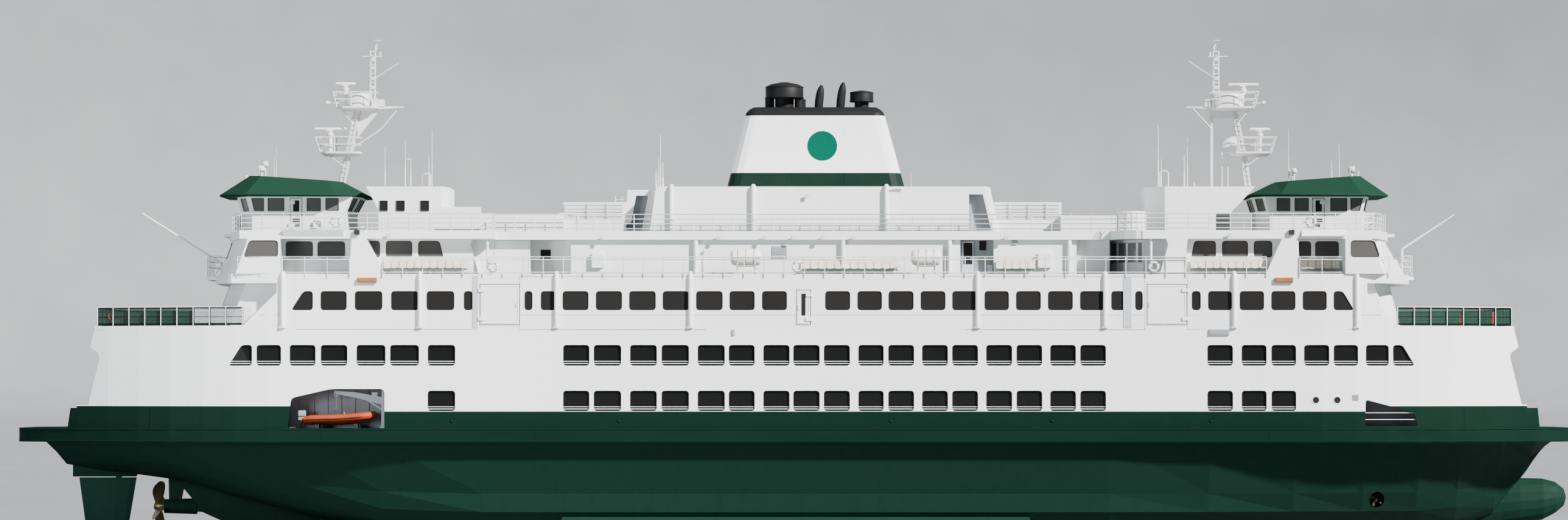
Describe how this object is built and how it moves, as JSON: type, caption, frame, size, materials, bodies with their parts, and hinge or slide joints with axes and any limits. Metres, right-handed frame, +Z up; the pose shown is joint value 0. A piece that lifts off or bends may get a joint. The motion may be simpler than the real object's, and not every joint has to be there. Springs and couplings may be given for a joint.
{
  "type": "car ferry, 1:10 scale model",
  "caption": "Double-ended car ferry as a 1:10 scale model: whole hull, open car deck, glazed cabin, pilothouse and mast at each end, funnel amidships.",
  "frame": {"origin": "amidships on the centreline at the waterline", "axes": "+X towards the end with the bulb, +Y to port, +Z up"},
  "size_m": [11.061, 2.53, 3.537],
  "materials": {
    "hull_paint": "dark green hull paint, semi-matt",
    "green_paint": "green band paint, satin",
    "white_paint": "white topside paint, satin",
    "deck_paint": "green deck and roof paint, matt",
    "grey_paint": "grey paint, satin",
    "black_paint": "black funnel paint, matt",
    "raft_shell": "white moulded shell",
    "orange_rubber": "orange coated tube fabric",
    "bronze": "cast bronze, dulled",
    "window_glass": "dark tinted window glass",
    "dark_opening": "dark interior lining",
    "brown_box": "brown painted boxes",
    "seat": "beige moulded seats",
    "steel": "bare and galvanised steel",
    "red_paint": "red paint",
    "lamp_glass": "clear lamp glass"
  },
  "bodies": {
    "ship": {"hull": "hull_paint", "car_deck": "green_paint", "side_shell_starboard": "white_paint", "side_shell_port": "white_paint", "gallery_deck_starboard": "grey_paint", "gallery_deck_port": "grey_paint", "centre_casing": "white_paint", "passenger_deck": "deck_paint", "passenger_cabin": "white_paint", "sun_deck": "deck_paint", "sun_house_left": "white_paint", "sun_house_right": "white_paint", "centre_house": "white_paint", "shelter": "grey_paint", "bridge_deck": "deck_paint", "upper_house": "white_paint", "bridge_house_left": "white_paint", "bridge_house_right": "white_paint", "pilothouse_left": "white_paint", "pilothouse_right": "white_paint", "pilothouse_roof_left": "deck_paint", "pilothouse_roof_right": "deck_paint", "mast_left": "white_paint", "mast_right": "white_paint", "end_screen_left": "green_paint", "end_screen_right": "green_paint", "funnel": "white_paint", "funnel_cap": "black_paint", "rescue_boat": "orange_rubber", "raft_1_starboard": "raft_shell", "raft_1_port": "raft_shell", "raft_2_starboard": "raft_shell", "raft_2_port": "raft_shell", "sight_pole_left": "white_paint", "sight_pole_right": "white_paint"},
    "rudder": {"rudder": "hull_paint"},
    "propeller": {"propeller": "bronze"},
    "thruster_propeller": {"thruster_propeller": "bronze"},
    "davit": {"davit": "grey_paint"},
    "radar_low_left": {"radar_low_left": "raft_shell"},
    "radar_high_left": {"radar_high_left": "raft_shell"},
    "radar_low_right": {"radar_low_right": "raft_shell"},
    "radar_high_right": {"radar_high_right": "raft_shell"},
    "shell_door_left_starboard": {"shell_door_left_starboard": "white_paint"},
    "shell_door_left_port": {"shell_door_left_port": "white_paint"},
    "midship_door_starboard": {"midship_door_starboard": "white_paint"},
    "midship_door_port": {"midship_door_port": "white_paint"},
    "shell_door_right_starboard": {"shell_door_right_starboard": "white_paint"},
    "shell_door_right_port": {"shell_door_right_port": "white_paint"},
    "pilothouse_door_left_starboard": {"pilothouse_door_left_starboard": "white_paint"},
    "pilothouse_door_left_port": {"pilothouse_door_left_port": "white_paint"},
    "pilothouse_door_right_starboard": {"pilothouse_door_right_starboard": "white_paint"},
    "pilothouse_door_right_port": {"pilothouse_door_right_port": "white_paint"}
  },
  "joints": [
    {"name": "rudder_turn", "type": "hinge", "parent": "ship", "child": "rudder", "pos_m": [-4.863, 0, -0.15], "axis": [0, 0, 1], "range_deg": [-35, 35]},
    {"name": "propeller_spin", "type": "hinge", "parent": "ship", "child": "propeller", "pos_m": [-4.572, 0, -0.363], "axis": [1, 0, 0], "continuous": true},
    {"name": "thruster_spin", "type": "hinge", "parent": "ship", "child": "thruster_propeller", "pos_m": [4.104, -0.7, -0.301], "axis": [0, 1, 0], "continuous": true},
    {"name": "davit_slew", "type": "hinge", "parent": "ship", "child": "davit", "pos_m": [-2.884, -1.075, 0.205], "axis": [0, 0, 1], "range_deg": [0, 75]},
    {"name": "radar_low_left_spin", "type": "hinge", "parent": "ship", "child": "radar_low_left", "pos_m": [-3.347, 0, 2.352], "axis": [0, 0, 1], "continuous": true},
    {"name": "radar_high_left_spin", "type": "hinge", "parent": "ship", "child": "radar_high_left", "pos_m": [-3.238, 0, 2.678], "axis": [0, 0, 1], "continuous": true},
    {"name": "radar_low_right_spin", "type": "hinge", "parent": "ship", "child": "radar_low_right", "pos_m": [3.347, 0, 2.35], "axis": [0, 0, 1], "continuous": true},
    {"name": "radar_high_right_spin", "type": "hinge", "parent": "ship", "child": "radar_high_right", "pos_m": [3.229, 0, 2.672], "axis": [0, 0, 1], "continuous": true},
    {"name": "shell_door_left_starboard_swing", "type": "hinge", "parent": "ship", "child": "shell_door_left_starboard", "pos_m": [-2.21, -1.2205, 0.93], "axis": [0, 0, -1], "range_deg": [0, 100]},
    {"name": "shell_door_left_port_swing", "type": "hinge", "parent": "ship", "child": "shell_door_left_port", "pos_m": [-2.21, 1.2205, 0.93], "axis": [0, 0, 1], "range_deg": [0, 100]},
    {"name": "midship_door_starboard_swing", "type": "hinge", "parent": "ship", "child": "midship_door_starboard", "pos_m": [0.115, -1.2205, 0.93], "axis": [0, 0, 1], "range_deg": [0, 100]},
    {"name": "midship_door_port_swing", "type": "hinge", "parent": "ship", "child": "midship_door_port", "pos_m": [0.115, 1.2205, 0.93], "axis": [0, 0, -1], "range_deg": [0, 100]},
    {"name": "shell_door_right_starboard_swing", "type": "hinge", "parent": "ship", "child": "shell_door_right_starboard", "pos_m": [2.741, -1.2205, 0.93], "axis": [0, 0, 1], "range_deg": [0, 100]},
    {"name": "shell_door_right_port_swing", "type": "hinge", "parent": "ship", "child": "shell_door_right_port", "pos_m": [2.741, 1.2205, 0.93], "axis": [0, 0, -1], "range_deg": [0, 100]},
    {"name": "pilothouse_door_left_starboard_swing", "type": "hinge", "parent": "ship", "child": "pilothouse_door_left_starboard", "pos_m": [-3.605, -0.4355, 1.61], "axis": [0, 0, -1], "range_deg": [0, 100]},
    {"name": "pilothouse_door_left_port_swing", "type": "hinge", "parent": "ship", "child": "pilothouse_door_left_port", "pos_m": [-3.605, 0.4355, 1.61], "axis": [0, 0, 1], "range_deg": [0, 100]},
    {"name": "pilothouse_door_right_starboard_swing", "type": "hinge", "parent": "ship", "child": "pilothouse_door_right_starboard", "pos_m": [3.779, -0.4355, 1.61], "axis": [0, 0, 1], "range_deg": [0, 100]},
    {"name": "pilothouse_door_right_port_swing", "type": "hinge", "parent": "ship", "child": "pilothouse_door_right_port", "pos_m": [3.779, 0.4355, 1.61], "axis": [0, 0, -1], "range_deg": [0, 100]}
  ]
}
